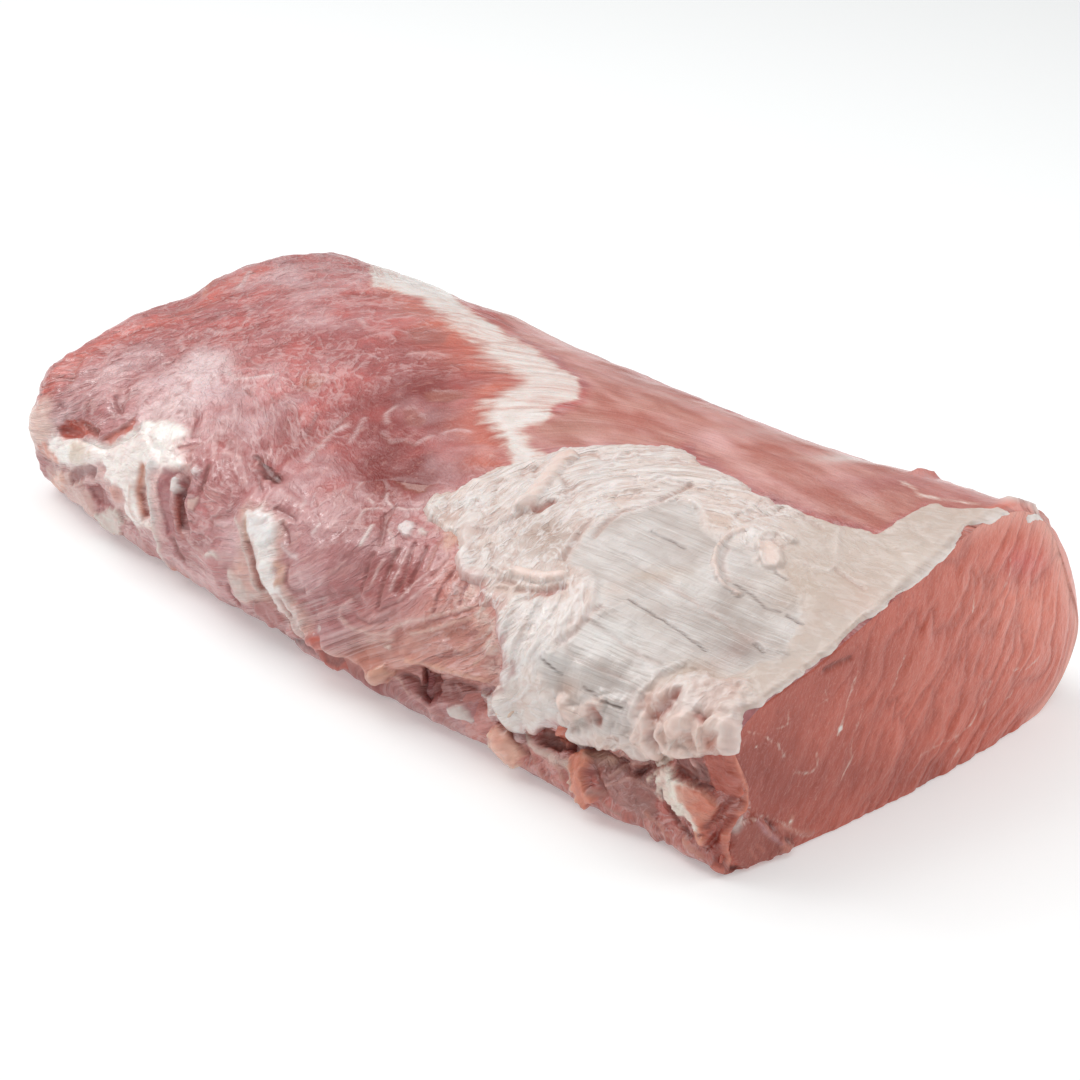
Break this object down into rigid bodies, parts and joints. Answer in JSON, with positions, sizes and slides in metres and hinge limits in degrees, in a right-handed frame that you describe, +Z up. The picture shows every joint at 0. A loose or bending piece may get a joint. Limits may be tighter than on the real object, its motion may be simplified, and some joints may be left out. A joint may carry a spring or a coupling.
{
  "type": "pork loin",
  "caption": "Raw boneless pork loin, a long piece of meat with a fresh cut face at one end and a patch of fat and silverskin on top, lying flat.",
  "frame": {"origin": "on the table, under the middle of the loin's box", "axes": "+X along the loin, towards the cut face; +Y towards the thick smooth back; +Z up"},
  "size_m": [0.3026, 0.1582, 0.0697],
  "materials": {
    "meat": "moist, satin",
    "fat": "waxy, satin"
  },
  "bodies": {
    "root": {"pork_loin": "meat"}
  },
  "joints": []
}
